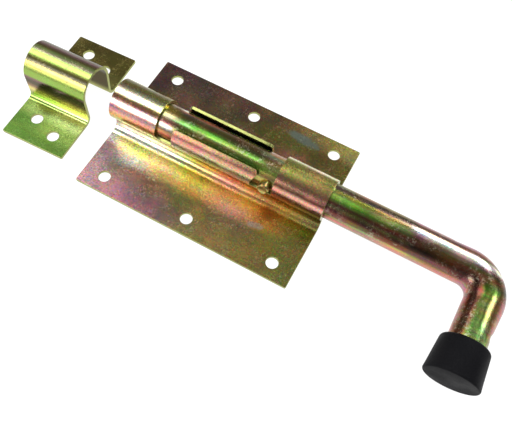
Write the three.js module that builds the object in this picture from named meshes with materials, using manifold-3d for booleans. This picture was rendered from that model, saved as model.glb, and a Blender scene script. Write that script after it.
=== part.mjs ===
// Sliding bolt latch: a one-piece formed base plate with two barrels, a bent round bolt with a stop pin
// and a rubber grip, and a separate formed keeper. Millimetres, +X along the bolt toward the handle,
// +Y toward the rear flange, +Z away from the face the latch is screwed to.
import * as THREE from "three";
import { mergeVertices } from "three/addons/utils/BufferGeometryUtils.js";
import Module from "manifold-3d";

const wasm = await Module();
wasm.setup();

// Sheet and bar stock
const SHEET = 1.8; // thickness of the formed sheet
const BOLT_R = 10; // radius of the round bar
const BOLT_RUN = 0.1; // radial running clearance of the bar in its barrels
const STEP_DEG = 5; // facet step of the round faces

// Base plate
const PLATE_L = 132; // length along the bolt
const PLATE_W = 98; // width across the bolt
const UNDER_BOLT = 10.1; // height of the bolt's underside above the mounting face
const NECK_R = 0.535 * UNDER_BOLT; // inside radius where a flange turns up into a barrel
const NECK_OUT = 0.6; // centre of that radius, beyond the barrel's outer round
const WINDOW_X = 36.2; // half length of the window between the barrels
const FLAP_X = 26; // half length of the two flaps in the window
const FLAP_TOP_DEG = 48; // front flap's free edge, above the horizontal
const FLAP_LEAN_DEG = 10.5; // where the rear flap leaves the barrel's round and runs straight
const REAR_FLAP_RISE = 7; // straight length of the rear flap
const NOTCH_FLOOR_DEG = -14; // floor of the notches, below the horizontal
const NOTCH_FOOT_R = 3; // rounding of the left notch's foot at its barrel
const FLAP_UNDERCUT = 2.6; // how far the right notch cuts under the front flap's corner
const UNDERCUT_HIGH_DEG = 33; // where that cut starts on the flap's end
const UNDERCUT_LOW_DEG = 3; // and where it reaches its full depth
const FLAP_CORNER = 2.5; // rounding of the flaps' free corners
const SCREW_R = 3.5; // screw hole radius
const SCREW_END = 12.8; // screw hole centre, from the plate's end
const SCREW_EDGE = 9.45; // screw hole centre, from the plate's long edge
const PLATE_CORNER = 0.8; // rounding of the plate's corners

// Bolt
const NOSE_SETBACK = 2; // tip of the bolt, inside the left barrel's end
const NOSE_CHAMFER = 1.5;
const ARM_OUT = 92.3; // axis of the bent arm, beyond the plate's right end
const BEND_R = 1.55 * BOLT_R; // centreline radius of the bend
const BEND_BULGE = 1; // how far the bend's outer side stands proud of the bar
const BULGE_BEFORE = 8.8; // bulge starts this far before the bend
const BULGE_AFTER = 14.2; // and ends this far after it
const BEND_STATIONS = 18; // sections that describe the bend
const ARM_CHAMFER = 1; // on the arm's end, inside the grip

// Stop pin
const PIN_R = 3.4;
const PIN_X = 32; // its axis along the bolt
const PIN_UP_DEG = 11; // its direction above the horizontal, toward the front
const PIN_PROUD = 4.5; // how far the pin stands out of the bolt
const PIN_SUNK = 7; // depth of the pin in the bolt
const PIN_CHAMFER = 0.5;
const PIN_DISH = 0.35; // hollow in the pin's end
const PIN_DISH_R = 2; // radius where the hollow is two thirds of its depth
const FIT_GAP = 0.3; // gap around a piece set into its neighbour

// Rubber grip on the arm
const CAP_S = 37.3; // open rim, from the bolt's axis along the arm
const CAP_L = 20.4; // length
const CAP_RIM_R = BOLT_R + 3; // radius at the rim
const CAP_END_R = BOLT_R + 4.7; // radius at the closed end
const CAP_SHOULDER = 2; // rounding of the rim
const CAP_EDGE = 0.9; // rounding of the closed end
const CAP_FLOOR = 2.4; // thickness of the closed end
const CAP_REST_GAP = 0.1; // gap under the grip where it lies on the mounting face

// Keeper
const KEEPER_L = 40; // length along the bolt
const KEEPER_W = 81.2; // width across the bolt
const KEEPER_GAP = 15.9; // from the plate's left end
const KEEPER_Y = -1.8;
const KEEPER_TURN_DEG = 1.8; // it is laid slightly askew
const KEEPER_RUN = 0.9; // radial room around the bolt
const HUMP_DROP = 0.7; // centre of the keeper's hump, below the bolt's axis
const HUMP_FOOT_R = 3; // inside radius at its feet
const HUMP_FOOT_OUT = 2.5; // centre of that radius, beyond the hump's outer round
const HUMP_Y = 0.4; // the hump's offset across the keeper
const KEEPER_HOLE_X = 7.4; // screw holes on both sides of the keeper's middle
const KEEPER_HOLE_EDGE = 10.2; // outer screw holes, from the keeper's edge
const KEEPER_HOLE_STEP = 5.9; // inner screw holes, from the outer ones

// Facets and cutting tools
const HOLE_FACETS = 32;
const CAP_FACETS = 64;
const CORNER_FACETS = 4;
const TOOL_MARGIN = 1; // how far a cutting tool stands clear of what it cuts
const NOTCH_NEAR = 3; // the notch tools start this far from the bolt's axis

const AXIS_Z = BOLT_R + UNDER_BOLT;
const BARREL_R = BOLT_R + BOLT_RUN + SHEET;
const SCREW_X = PLATE_L / 2 - SCREW_END;
const SCREW_Y = PLATE_W / 2 - SCREW_EDGE;
const PLATE_HOLES = [-1, 0, 1].flatMap((i) => [-1, 1].map((j) => [i * SCREW_X, j * SCREW_Y]));
const ARM_X = PLATE_L / 2 + ARM_OUT;
const NOSE_X = NOSE_SETBACK - PLATE_L / 2;
const HUMP_R = BOLT_R + KEEPER_RUN + SHEET;
const KEEPER_X = -PLATE_L / 2 - KEEPER_GAP - KEEPER_L / 2;
const KEEPER_FAR = KEEPER_W / 2 - KEEPER_HOLE_EDGE;
const KEEPER_NEAR = KEEPER_FAR - KEEPER_HOLE_STEP;
const KEEPER_HOLES = [
  [-KEEPER_HOLE_X, -KEEPER_NEAR],
  [KEEPER_HOLE_X, -KEEPER_FAR],
  [-KEEPER_HOLE_X, KEEPER_FAR],
  [KEEPER_HOLE_X, KEEPER_NEAR],
];

const rad = (deg) => (deg * Math.PI) / 180;

// Points of an arc in the section plane, from a0 to a1 degrees (0 = +Y, 90 = +Z)
function arc(cy, cz, r, a0, a1, step = STEP_DEG) {
  const n = Math.max(1, Math.round(Math.abs(a1 - a0) / step));
  const pts = [];
  for (let i = 0; i <= n; i++) {
    const a = rad(a0 + ((a1 - a0) * i) / n);
    pts.push([cy + r * Math.cos(a), cz + r * Math.sin(a)]);
  }
  return pts;
}

// Angle of the straight run that joins a foot's round to the barrel's, and the points of one side's skin
// from the flange's edge up to the given angle. The left (-Y) side is drawn; d is 0 for the upper skin
// and the sheet's thickness for the lower one.
function skin(o, d, topDeg) {
  const by = -o.footY;
  const bz = SHEET + o.footR;
  const far = Math.hypot(by, o.z - bz);
  const a = Math.atan2(o.z - bz, -by) - Math.acos((o.r + o.footR) / far);
  const aDeg = (a * 180) / Math.PI;
  const foot = arc(by, bz, o.footR + d, -90, aDeg);
  const round = arc(0, o.z, o.r - d, 180 + aDeg, topDeg);
  return [[-o.width / 2, SHEET - d], ...foot, ...round];
}

const flip = (pts) => pts.map(([y, z]) => [-y, z]).reverse();

// Whole section of a barrel or hump: both skins, over the top
function omega(o) {
  const upper = skin(o, 0, 90);
  const lower = skin(o, SHEET, 90);
  const over = [...upper.slice(0, -1), ...flip(upper)];
  const under = [...lower.slice(0, -1), ...flip(lower)];
  return [...over, ...under.reverse()];
}

// Section of one wall that ends at a free edge, on the front side
function wall(o, topDeg, tip = []) {
  const upper = skin(o, 0, topDeg);
  const lower = skin(o, SHEET, topDeg);
  return [...upper, ...tip, ...lower.reverse()];
}

function toSolid(geometry) {
  const g = geometry.clone();
  g.deleteAttribute("uv");
  g.deleteAttribute("normal");
  const m = mergeVertices(g, 1e-4);
  return new wasm.Manifold(
    new wasm.Mesh({
      numProp: 3,
      vertProperties: new Float32Array(m.attributes.position.array),
      triVerts: new Uint32Array(m.index.array),
    }),
  );
}

function toGeometry(solid) {
  const mesh = solid.getMesh();
  const g = new THREE.BufferGeometry();
  g.setAttribute("position", new THREE.BufferAttribute(new Float32Array(mesh.vertProperties), 3));
  g.setIndex(new THREE.BufferAttribute(new Uint32Array(mesh.triVerts), 1));
  const flat = g.toNonIndexed();
  flat.computeVertexNormals();
  return flat;
}

// Outline [[y, z], ...] carried along X from x0 to x1
function alongX(outline, x0, x1) {
  const shape = new THREE.Shape(outline.map(([y, z]) => new THREE.Vector2(y, z)));
  const g = new THREE.ExtrudeGeometry(shape, { depth: x1 - x0, bevelEnabled: false, steps: 1 });
  g.applyMatrix4(new THREE.Matrix4().set(0, 0, 1, x0, 1, 0, 0, 0, 0, 1, 0, 0, 0, 0, 0, 1));
  return toSolid(g);
}

// Outline [[x, z], ...] carried along Y from y0 to y1
function alongY(outline, y0, y1) {
  const shape = new THREE.Shape(outline.map(([x, z]) => new THREE.Vector2(x, z)));
  const g = new THREE.ExtrudeGeometry(shape, { depth: y1 - y0, bevelEnabled: false, steps: 1 });
  g.applyMatrix4(new THREE.Matrix4().set(1, 0, 0, 0, 0, 0, -1, y1, 0, 1, 0, 0, 0, 0, 0, 1));
  return toSolid(g);
}

// Drills through a flange at each [x, y]
function drill(list, r) {
  const height = SHEET + 2 * TOOL_MARGIN;
  return list.map(([x, y]) => {
    const g = new THREE.CylinderGeometry(r, r, height, HOLE_FACETS);
    g.rotateX(Math.PI / 2);
    g.translate(x, y, SHEET / 2);
    return toSolid(g);
  });
}

function cut(solid, tools) {
  let s = solid;
  for (const t of tools) s = s.subtract(t);
  return s;
}

function add(solids) {
  let s = solids[0];
  for (const t of solids.slice(1)) s = s.add(t);
  return s;
}

// Height on the barrel's outer round at an angle above the horizontal
const roundZ = (deg) => AXIS_Z + BARREL_R * Math.sin(rad(deg));

// Quarter round between two directions about (cx, cz), for the corners of the flaps
function corner(cx, cz, rx, rz, a0, a1) {
  const pts = [];
  for (let i = 0; i <= CORNER_FACETS; i++) {
    const a = rad(a0 + ((a1 - a0) * i) / CORNER_FACETS);
    pts.push([cx + rx * Math.cos(a), cz + rz * Math.sin(a)]);
  }
  return pts;
}

// Outline turned the way that alongY needs
function counterClockwise(pts) {
  const shape = pts.map(([x, z]) => new THREE.Vector2(x, z));
  return THREE.ShapeUtils.isClockWise(shape) ? [...pts].reverse() : pts;
}

function basePlate() {
  const o = { width: PLATE_W, z: AXIS_Z, r: BARREL_R, footR: NECK_R, footY: BARREL_R + NECK_OUT };
  const barrel = omega(o);
  const front = wall(o, 180 - FLAP_TOP_DEG);
  const lean = rad(FLAP_LEAN_DEG);
  const edge = (r) => [-r * Math.cos(lean), AXIS_Z + r * Math.sin(lean)];
  const rise = ([y, z]) => [y + REAR_FLAP_RISE * Math.sin(lean), z + REAR_FLAP_RISE * Math.cos(lean)];
  const tip = [rise(edge(BARREL_R)), rise(edge(BARREL_R - SHEET))];
  const rear = flip(wall(o, 180 - FLAP_LEAN_DEG, tip));
  const half = PLATE_L / 2;
  const body = add([
    alongX(barrel, -half, -WINDOW_X),
    alongX(front, -WINDOW_X, WINDOW_X),
    alongX(rear, -WINDOW_X, WINDOW_X),
    alongX(barrel, WINDOW_X, half),
  ]);
  return cut(body, [
    ...frontNotches(),
    ...rearNotches(tip[0][1]),
    ...drill(PLATE_HOLES, SCREW_R),
    ...cornerTools(PLATE_L, PLATE_W, PLATE_CORNER),
  ]);
}

const NOTCH_FLOOR = roundZ(NOTCH_FLOOR_DEG);
const NOTCH_HIGH = AXIS_Z + BARREL_R + TOOL_MARGIN;
const NOTCH_FAR = BARREL_R + NECK_OUT + NECK_R;

// Front notches: the left one has a rounded foot at the barrel, the right one undercuts the flap
function frontNotches() {
  const floor = NOTCH_FLOOR;
  const c = FLAP_CORNER;
  const foot = NOTCH_FOOT_R;
  const cz = c * Math.cos(rad(FLAP_TOP_DEG));
  const bend = roundZ(FLAP_TOP_DEG) - cz;
  const left = [
    [-FLAP_X, floor],
    ...corner(-FLAP_X + c, bend, c, cz, 180, 90),
    [-FLAP_X + c, NOTCH_HIGH],
    [-WINDOW_X, NOTCH_HIGH],
    ...corner(-WINDOW_X + foot, floor + foot, foot, foot, 180, 270),
  ];
  const right = [
    [FLAP_X - FLAP_UNDERCUT, floor],
    [WINDOW_X, floor],
    [WINDOW_X, NOTCH_HIGH],
    [FLAP_X - c, NOTCH_HIGH],
    ...corner(FLAP_X - c, bend, c, cz, 90, 0),
    [FLAP_X, roundZ(UNDERCUT_HIGH_DEG)],
    [FLAP_X - FLAP_UNDERCUT, roundZ(UNDERCUT_LOW_DEG)],
  ];
  return [left, right].map((pts) => alongY(counterClockwise(pts), -NOTCH_FAR, -NOTCH_NEAR));
}

// Notches at both ends of the rear flap
function rearNotches(flapTop) {
  const c = FLAP_CORNER;
  return [-1, 1].map((side) => {
    const pts = [
      [side * FLAP_X, NOTCH_FLOOR],
      [side * WINDOW_X, NOTCH_FLOOR],
      [side * WINDOW_X, NOTCH_HIGH],
      [side * (FLAP_X - c), NOTCH_HIGH],
      ...corner(side * (FLAP_X - c), flapTop - c, side * c, c, 90, 0),
    ];
    return alongY(counterClockwise(pts), NOTCH_NEAR, NOTCH_FAR);
  });
}

// Tools that round the four corners of a rectangular sheet
function cornerTools(length, width, r) {
  const tools = [];
  const quadrants = [1, -1].flatMap((sx) => [1, -1].map((sy) => [sx, sy]));
  for (const [sx, sy] of quadrants) {
    const cx = sx * (length / 2 - r);
    const cy = sy * (width / 2 - r);
    const pts = [[cx + sx * 2 * r, cy], [cx + sx * 2 * r, cy + sy * 2 * r], [cx, cy + sy * 2 * r]];
    for (let i = 0; i <= CORNER_FACETS; i++) {
      const a = rad(90 - (90 * i) / CORNER_FACETS);
      pts.push([cx + sx * r * Math.cos(a), cy + sy * r * Math.sin(a)]);
    }
    const shape = new THREE.Shape(pts.map(([x, y]) => new THREE.Vector2(x, y)));
    const depth = SHEET + 2 * TOOL_MARGIN;
    const g = new THREE.ExtrudeGeometry(shape, { depth, bevelEnabled: false, steps: 1 });
    g.translate(0, 0, -TOOL_MARGIN);
    tools.push(toSolid(g));
  }
  return tools;
}

function keeper() {
  const footY = HUMP_R + HUMP_FOOT_OUT;
  const o = { width: KEEPER_W, z: AXIS_Z - HUMP_DROP, r: HUMP_R, footR: HUMP_FOOT_R, footY };
  const outline = omega(o).map(([y, z]) => [Math.abs(y) > footY ? y : y + HUMP_Y, z]);
  const body = alongX(outline, -KEEPER_L / 2, KEEPER_L / 2);
  const corners = cornerTools(KEEPER_L, KEEPER_W, PLATE_CORNER);
  return cut(body, [...drill(KEEPER_HOLES, SCREW_R), ...corners]);
}

// Tilt of the arm that lays the grip's closed end on the mounting face
function armTilt() {
  const s = CAP_S + CAP_L - CAP_EDGE;
  const drop = AXIS_Z - CAP_REST_GAP;
  return Math.asin(drop / Math.hypot(CAP_END_R, s)) - Math.atan2(CAP_END_R, s);
}

const TILT = armTilt();
const ARM_DIR = new THREE.Vector3(0, -Math.cos(TILT), -Math.sin(TILT));
const AXIS_POINT = new THREE.Vector3(0, 0, AXIS_Z);

// Centre, tangent and outward normal of the bar's centreline at a distance from the bend's start
function barAt(s) {
  const x0 = ARM_X - BEND_R;
  const sweep = (BEND_R * Math.PI) / 2;
  const along = new THREE.Vector3(1, 0, 0);
  if (s <= 0) return { c: AXIS_POINT.clone().setX(x0 + s), t: along, n: ARM_DIR.clone().negate() };
  const a = Math.min(s / BEND_R, Math.PI / 2);
  const c = AXIS_POINT.clone().setX(x0 + BEND_R * Math.sin(a));
  c.addScaledVector(ARM_DIR, BEND_R * (1 - Math.cos(a)));
  const t = along.clone().multiplyScalar(Math.cos(a)).addScaledVector(ARM_DIR, Math.sin(a));
  const n = along.clone().multiplyScalar(Math.sin(a)).addScaledVector(ARM_DIR, -Math.cos(a));
  if (s > sweep) c.addScaledVector(ARM_DIR, s - sweep);
  return { c, t, n };
}

function boltRod() {
  const sweep = (BEND_R * Math.PI) / 2;
  const end = CAP_S + CAP_L - CAP_FLOOR - FIT_GAP - BEND_R + sweep;
  const start = NOSE_X - (ARM_X - BEND_R);
  const stations = [[start, BOLT_R - NOSE_CHAMFER], [start + NOSE_CHAMFER, BOLT_R]];
  const b0 = -BULGE_BEFORE;
  const b1 = sweep + BULGE_AFTER;
  for (let i = 0; i <= BEND_STATIONS; i++) {
    stations.push([b0 + ((b1 - b0) * i) / BEND_STATIONS, BOLT_R]);
  }
  stations.push([end - ARM_CHAMFER, BOLT_R], [end, BOLT_R - ARM_CHAMFER]);
  const n = 360 / STEP_DEG;
  const pos = [];
  for (const [s, r] of stations) {
    const f = barAt(s);
    const side = new THREE.Vector3().crossVectors(f.t, f.n);
    const u = (s - b0) / (b1 - b0);
    const bump = u > 0 && u < 1 ? BEND_BULGE * Math.sin(Math.PI * u) ** 2 : 0;
    for (let k = 0; k < n; k++) {
      const a = (2 * Math.PI * k) / n;
      const out = Math.cos(a) * (r + bump * Math.max(0, Math.cos(a)));
      const p = f.c.clone().addScaledVector(f.n, out).addScaledVector(side, r * Math.sin(a));
      pos.push(p.x, p.y, p.z);
    }
  }
  const index = [];
  for (let i = 0; i + 1 < stations.length; i++) {
    for (let k = 0; k < n; k++) {
      const a = i * n + k;
      const b = i * n + ((k + 1) % n);
      index.push(a, b, b + n, a, b + n, a + n);
    }
  }
  const last = (stations.length - 1) * n;
  for (let k = 1; k + 1 < n; k++) {
    index.push(0, k + 1, k);
    index.push(last, last + k, last + k + 1);
  }
  const bar = new wasm.Mesh({
    numProp: 3,
    vertProperties: new Float32Array(pos),
    triVerts: new Uint32Array(index),
  });
  const bore = pinGeometry([
    [0, BOLT_R - PIN_SUNK - FIT_GAP],
    [PIN_R + FIT_GAP, BOLT_R - PIN_SUNK - FIT_GAP],
    [PIN_R + FIT_GAP, BOLT_R + PIN_PROUD],
    [0, BOLT_R + PIN_PROUD],
  ]);
  return new wasm.Manifold(bar).subtract(toSolid(bore));
}

// Round turned about the pin's axis from [[radius, distance from the bolt's axis], ...]
function pinGeometry(profile) {
  const g = new THREE.LatheGeometry(profile.map(([r, s]) => new THREE.Vector2(r, s)), HOLE_FACETS);
  const a = rad(PIN_UP_DEG);
  const dir = new THREE.Vector3(0, -Math.cos(a), Math.sin(a));
  g.applyQuaternion(new THREE.Quaternion().setFromUnitVectors(new THREE.Vector3(0, 1, 0), dir));
  g.translate(PIN_X, 0, AXIS_Z);
  return g;
}

function stopPin() {
  const root = BOLT_R - PIN_SUNK;
  const end = BOLT_R + PIN_PROUD;
  return toSolid(
    pinGeometry([
      [0, root],
      [PIN_R - PIN_CHAMFER, root],
      [PIN_R, root + PIN_CHAMFER],
      [PIN_R, end - PIN_CHAMFER],
      [PIN_R - PIN_CHAMFER, end],
      [PIN_DISH_R, end - (PIN_DISH * 2) / 3],
      [0, end - PIN_DISH],
    ]),
  );
}

function endCap() {
  const inner = BOLT_R + FIT_GAP;
  const slope = (CAP_END_R - CAP_RIM_R) / CAP_L;
  const sh = CAP_SHOULDER;
  const pts = [[0, CAP_L - CAP_FLOOR], [inner, CAP_L - CAP_FLOOR], [inner, 0]];
  for (let i = 0; i <= CORNER_FACETS; i++) {
    const a = rad(-90 + (90 * i) / CORNER_FACETS);
    const s = sh + sh * Math.sin(a);
    pts.push([CAP_RIM_R + slope * s - sh + sh * Math.cos(a), s]);
  }
  for (let i = 0; i <= CORNER_FACETS; i++) {
    const a = rad((90 * i) / CORNER_FACETS);
    pts.push([CAP_END_R - CAP_EDGE + CAP_EDGE * Math.cos(a), CAP_L - CAP_EDGE + CAP_EDGE * Math.sin(a)]);
  }
  pts.push([0, CAP_L]);
  const g = new THREE.LatheGeometry(pts.map(([r, s]) => new THREE.Vector2(r, s)), CAP_FACETS);
  g.applyQuaternion(new THREE.Quaternion().setFromUnitVectors(new THREE.Vector3(0, 1, 0), ARM_DIR));
  g.translate(ARM_X, ARM_DIR.y * CAP_S, AXIS_Z + ARM_DIR.z * CAP_S);
  return toSolid(g);
}

const plated = { color: 0x9a8f52, roughness: 0.38, metalness: 0.9 };
const rubber = { color: 0x17181a, roughness: 0.85, metalness: 0 };

function piece(name, solid, look) {
  const mesh = new THREE.Mesh(toGeometry(solid), new THREE.MeshStandardMaterial(look));
  mesh.name = name;
  return mesh;
}

const latch = new THREE.Group();
latch.name = "bolt_latch";
latch.add(piece("base_plate", basePlate(), plated));
const keeperMesh = piece("keeper", keeper(), plated);
keeperMesh.geometry.rotateZ(rad(KEEPER_TURN_DEG));
keeperMesh.geometry.translate(KEEPER_X, KEEPER_Y, 0);
latch.add(keeperMesh);
latch.add(piece("bolt_rod", boltRod(), plated));
latch.add(piece("stop_pin", stopPin(), plated));
latch.add(piece("end_cap", endCap(), rubber));

// origin at the middle of the bottom of the whole latch
const box = new THREE.Box3().setFromObject(latch);
const shift = new THREE.Vector3(-(box.min.x + box.max.x) / 2, -(box.min.y + box.max.y) / 2, -box.min.z);
for (const mesh of latch.children) mesh.geometry.translate(shift.x, shift.y, shift.z);

export default latch;
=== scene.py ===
"""Sliding bolt latch: fine surfaces, plated finishes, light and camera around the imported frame."""
import logging
import math
from dataclasses import dataclass
from enum import Enum

import bpy
import numpy as np
from mathutils import Matrix, Vector
from mathutils.geometry import delaunay_2d_cdt


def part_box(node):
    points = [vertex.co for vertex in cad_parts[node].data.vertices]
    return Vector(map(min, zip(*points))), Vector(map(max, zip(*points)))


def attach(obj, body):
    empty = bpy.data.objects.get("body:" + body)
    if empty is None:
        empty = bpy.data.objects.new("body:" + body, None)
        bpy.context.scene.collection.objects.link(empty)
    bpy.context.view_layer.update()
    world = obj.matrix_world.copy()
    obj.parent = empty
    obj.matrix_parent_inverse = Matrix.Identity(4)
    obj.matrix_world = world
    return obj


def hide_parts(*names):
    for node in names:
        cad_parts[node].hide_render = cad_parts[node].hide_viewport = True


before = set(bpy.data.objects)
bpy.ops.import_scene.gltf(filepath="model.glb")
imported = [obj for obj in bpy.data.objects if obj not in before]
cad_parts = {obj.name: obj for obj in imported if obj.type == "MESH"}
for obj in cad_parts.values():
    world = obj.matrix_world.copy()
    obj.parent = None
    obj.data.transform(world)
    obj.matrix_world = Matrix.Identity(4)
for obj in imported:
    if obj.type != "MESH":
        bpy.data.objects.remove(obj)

LOG = logging.getLogger("bolt_latch")
MM = 0.001
EDGE = "cut_edge"  # the mesh attribute that marks bare cut edges
OUTLINE_STEP_X, OUTLINE_STEP_V = 3.0, 0.7  # longest edges of a sheet's outline, in millimetres
BAND_LOW, BAND_HIGH = -60.0, 180.0  # the angles that a finish's bands span, in degrees
DARKEST_TINT = 0.05
CUT_SHARE = 0.3  # a rim point facing outward by more than this belongs to the bare cut edge
SAME_POINT = 1e-7  # points closer than this on a flat pattern are one point, in millimetres

Colour = tuple[float, float, float]
Stops = tuple[tuple[float, Colour], ...]
Loop = list[tuple[float, float]]
Socket = bpy.types.NodeSocket


class Slot(Enum):
    """The record's material slots."""

    STEEL = "plated_steel"
    RUBBER = "black_rubber"


class Body(Enum):
    """The rigid bodies that pieces ride on."""

    BASE = "base"
    BOLT = "bolt"


class Side(Enum):
    """Sides of the bolt's axis, by the sign of Y."""

    FRONT = -1
    REAR = 1


# --------------------------------------------------------------------------------------------
# Mesh helpers
# --------------------------------------------------------------------------------------------


def rounded_rectangle(half_x: float, half_y: float, radius: float, steps: int = 5) -> Loop:
    """Outline of a rectangle with rounded corners, counter-clockwise.

    Args:
        half_x: Half length along the first axis.
        half_y: Half length along the second axis.
        radius: Corner radius.
        steps: Segments of each corner.

    Returns:
        The outline's points.
    """
    points: Loop = []
    for sx, sy, start in ((1, 1, 0), (-1, 1, 90), (-1, -1, 180), (1, -1, 270)):
        cx, cy = sx * (half_x - radius), sy * (half_y - radius)
        for i in range(steps + 1):
            a = math.radians(start + 90 * i / steps)
            points.append((cx + radius * math.cos(a), cy + radius * math.sin(a)))
    return points


def circle(cx: float, cy: float, radius: float, count: int = 40) -> Loop:
    """Points of a circle, clockwise, as a hole's outline.

    Args:
        cx: Centre along the first axis.
        cy: Centre along the second axis.
        radius: Radius.
        count: Number of points.

    Returns:
        The outline's points.
    """
    turns = [-2 * math.pi * i / count for i in range(count)]
    return [(cx + radius * math.cos(a), cy + radius * math.sin(a)) for a in turns]


def round_corners(corners: list[tuple[float, float, float]], steps: int = 5) -> Loop:
    """Outline through corners, each with its own rounding.

    Args:
        corners: (x, y, radius) of each corner in order; radius 0 keeps it sharp.
        steps: Segments of each rounding.

    Returns:
        The outline's points.
    """
    points: Loop = []
    n = len(corners)
    for i, (x, y, r) in enumerate(corners):
        if r <= 0:
            points.append((x, y))
            continue
        p = np.array([x, y])
        before = np.array(corners[i - 1][:2]) - p
        after = np.array(corners[(i + 1) % n][:2]) - p
        before /= np.linalg.norm(before)
        after /= np.linalg.norm(after)
        half = math.acos(float(np.clip(before @ after, -1, 1))) / 2
        reach = r / math.tan(half)
        start, end = p + before * reach, p + after * reach
        for k in range(steps + 1):
            t = k / steps
            q = (1 - t) ** 2 * start + 2 * t * (1 - t) * p + t * t * end
            points.append((float(q[0]), float(q[1])))
    return points


def subdivide(loop: Loop, step_x: float, step_y: float) -> Loop:
    """Splits an outline's long edges.

    Args:
        loop: The outline.
        step_x: Longest allowed run of an edge along the first axis.
        step_y: Longest allowed run of an edge along the second axis.

    Returns:
        The outline with more points on the same lines.
    """
    points: Loop = []
    for (x0, y0), (x1, y1) in zip(loop, loop[1:] + loop[:1]):
        count = max(1, math.ceil(abs(x1 - x0) / step_x), math.ceil(abs(y1 - y0) / step_y))
        points += [(x0 + (x1 - x0) * i / count, y0 + (y1 - y0) * i / count) for i in range(count)]
    return points


def inset_directions(loop: np.ndarray) -> np.ndarray:
    """Mitred unit offsets that move a loop into the material on its left.

    Args:
        loop: The loop's points, (n, 2), with the material on its left.

    Returns:
        The offset of each point for an inset of 1.
    """
    ahead = np.roll(loop, -1, axis=0) - loop
    ahead /= np.linalg.norm(ahead, axis=1)[:, None]
    normal = np.stack([-ahead[:, 1], ahead[:, 0]], axis=1)
    before = np.roll(normal, 1, axis=0)
    mid = normal + before
    return mid / np.maximum(0.5, (mid * normal).sum(1))[:, None]


def inside(points: np.ndarray, loop: np.ndarray) -> np.ndarray:
    """Which points lie inside a loop.

    Args:
        points: (n, 2) points.
        loop: (m, 2) loop.

    Returns:
        A boolean for each point.
    """
    result = np.zeros(len(points), bool)
    for (x0, y0), (x1, y1) in zip(loop, np.roll(loop, -1, axis=0)):
        if y0 == y1:
            continue
        crosses = (points[:, 1] > min(y0, y1)) & (points[:, 1] <= max(y0, y1))
        result ^= crosses & (points[:, 0] < x0 + (points[:, 1] - y0) / (y1 - y0) * (x1 - x0))
    return result


def clearance(points: np.ndarray, loop: np.ndarray) -> np.ndarray:
    """Distance of points from a loop's edges.

    Args:
        points: (n, 2) points.
        loop: (m, 2) loop.

    Returns:
        The distance of each point.
    """
    best = np.full(len(points), 1e9)
    for a, b in zip(loop, np.roll(loop, -1, axis=0)):
        ab = b - a
        t = np.clip(((points - a) @ ab) / (ab @ ab), 0, 1)
        best = np.minimum(best, np.linalg.norm(points - (a + t[:, None] * ab), axis=1))
    return best


def make_object(
    name: str, verts: np.ndarray, faces: list, normals: np.ndarray | None = None, edge: list | None = None
) -> bpy.types.Object:
    """Makes a smooth mesh object from points in millimetres.

    Args:
        name: The object's name.
        verts: (n, 3) points in millimetres in the row frame.
        faces: Vertex indices of each face, outward.
        normals: Vertex normals to shade with, or None to take them from the mesh.
        edge: How much each point belongs to a bare cut edge, 0 to 1, or None for no cut edges.

    Returns:
        The object, linked to the scene.
    """
    mesh = bpy.data.meshes.new(name)
    mesh.from_pydata((verts * MM).tolist(), [], faces)
    mesh.validate()
    mesh.polygons.foreach_set("use_smooth", [True] * len(mesh.polygons))
    if normals is not None:
        mesh.normals_split_custom_set_from_vertices(normals.tolist())
    if edge is not None:
        mesh.attributes.new(EDGE, "FLOAT", "POINT").data.foreach_set("value", edge)
    mesh.update()
    obj = bpy.data.objects.new(name, mesh)
    bpy.context.scene.collection.objects.link(obj)
    return obj


def bridge(rings: list[list[int]]) -> list:
    """Joins neighbouring rings of points with faces.

    Args:
        rings: The points' indices, ring by ring; a ring of one point closes an end.

    Returns:
        The faces.
    """
    faces: list = []
    for low, high in zip(rings, rings[1:]):
        count = max(len(low), len(high))
        for k in range(count):
            j = (k + 1) % count
            if len(low) == 1:
                faces.append((low[0], high[j], high[k]))
            elif len(high) == 1:
                faces.append((low[k], low[j], high[0]))
            else:
                faces.append((low[k], low[j], high[j], high[k]))
    return faces


def spin(
    profile: list[tuple[float, float]], origin: Vector, axis: Vector, count: int
) -> tuple[np.ndarray, list]:
    """Turns a profile about an axis into a closed skin.

    Args:
        profile: (radius, distance along the axis) points, from axis to axis, outward on the right.
        origin: A point on the axis, in millimetres.
        axis: Unit direction of the axis.
        count: Segments round the axis.

    Returns:
        The skin's points and faces.
    """
    u = axis.orthogonal().normalized()
    v = axis.cross(u)
    points: list = []
    rings: list[list[int]] = []
    for r, s in profile:
        if r < 1e-6:
            rings.append([len(points)])
            points.append(origin + axis * s)
            continue
        rings.append(list(range(len(points), len(points) + count)))
        for k in range(count):
            a = 2 * math.pi * k / count
            points.append(origin + axis * s + (u * math.cos(a) + v * math.sin(a)) * r)
    return np.array([tuple(p) for p in points]), bridge(rings)


# --------------------------------------------------------------------------------------------
# Formed sheet
# --------------------------------------------------------------------------------------------


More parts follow.
